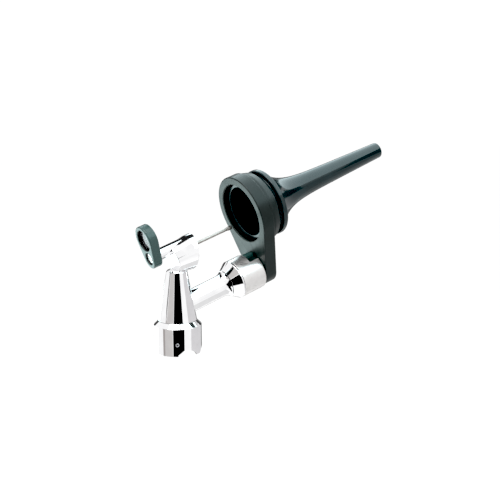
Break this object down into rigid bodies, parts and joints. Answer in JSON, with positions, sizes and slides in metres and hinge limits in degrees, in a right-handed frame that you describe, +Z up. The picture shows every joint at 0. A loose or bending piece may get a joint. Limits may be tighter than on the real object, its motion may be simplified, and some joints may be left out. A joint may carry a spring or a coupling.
{
  "type": "operating otoscope head",
  "caption": "Operating otoscope head: chrome cone that fits a battery handle, swinging magnifying lens, and a swivelling holder with a long removable speculum.",
  "frame": {"origin": "centre of the coupling skirt's bottom rim, where the handle's spigot enters", "axes": "+Z up along the cone's axis, away from the handle; +X the way the arm and the speculum point, seen from above; the speculum rises 17.5 degrees from +X"},
  "size_m": [0.1364, 0.0362, 0.091],
  "materials": {
    "chrome": "polished chrome plate",
    "satin_steel": "fine satin",
    "spring_steel": "plain turned steel",
    "brass": "plain turned brass",
    "holder_plastic": "satin moulded, black-green",
    "frame_plastic": "semi-gloss moulded, dark teal",
    "speculum_plastic": "high gloss, teal-black",
    "lens_glass": "clear, polished",
    "lamp_glass": "clear",
    "optical_fibre": "fibre bundle",
    "black_rubber": "matte",
    "ceramic": "unglazed ceramic",
    "tungsten": "drawn wire"
  },
  "bodies": {
    "head": {"base_skirt": "chrome", "coupling_stud_1": "spring_steel", "coupling_stud_2": "spring_steel", "coupling_stud_3": "spring_steel", "cone_body": "chrome", "head_barrel": "chrome", "front_cover": "chrome", "light_guide_tube": "satin_steel", "fibre_core": "optical_fibre", "fibre_bundle": "optical_fibre", "bundle_ferrule": "brass", "arm_tube": "chrome", "collar_nut": "chrome", "swivel_collar": "satin_steel", "wave_washer": "spring_steel", "pivot_bush": "brass", "pivot_spring_washer": "spring_steel"},
    "holder": {"speculum_holder": "holder_plastic", "holder_hub": "holder_plastic", "stop_key": "frame_plastic", "swivel_shaft": "spring_steel", "shaft_nut": "spring_steel", "thrust_washer": "spring_steel"},
    "speculum": {"speculum": "speculum_plastic", "retaining_oring": "black_rubber"},
    "lens": {"lens_frame": "frame_plastic", "lens": "lens_glass", "lens_retaining_ring": "frame_plastic", "pivot_screw": "satin_steel", "pivot_nut": "spring_steel"},
    "lamp": {"lamp_base": "brass", "lamp_insulator": "ceramic", "lamp_contact": "brass", "lamp_envelope": "lamp_glass", "lamp_filament": "tungsten"}
  },
  "joints": [
    {"name": "holder_swivel", "type": "hinge", "parent": "head", "child": "holder", "pos_m": [0, 0, 0.02045], "axis": [0.9537, 0, 0.3007], "range_deg": [-28, 26]},
    {"name": "speculum_pull", "type": "slide", "parent": "holder", "child": "speculum", "axis": [0.9537, 0, 0.3007], "range_m": [0, 0.02]},
    {"name": "lens_swing", "type": "hinge", "parent": "head", "child": "lens", "pos_m": [-0.00821, 0, 0.04649], "axis": [0.9537, 0, 0.3007], "range_deg": [-110, 110]},
    {"name": "lamp_pull", "type": "slide", "parent": "head", "child": "lamp", "axis": [0, 0, -1], "range_m": [0, 0.032]}
  ]
}
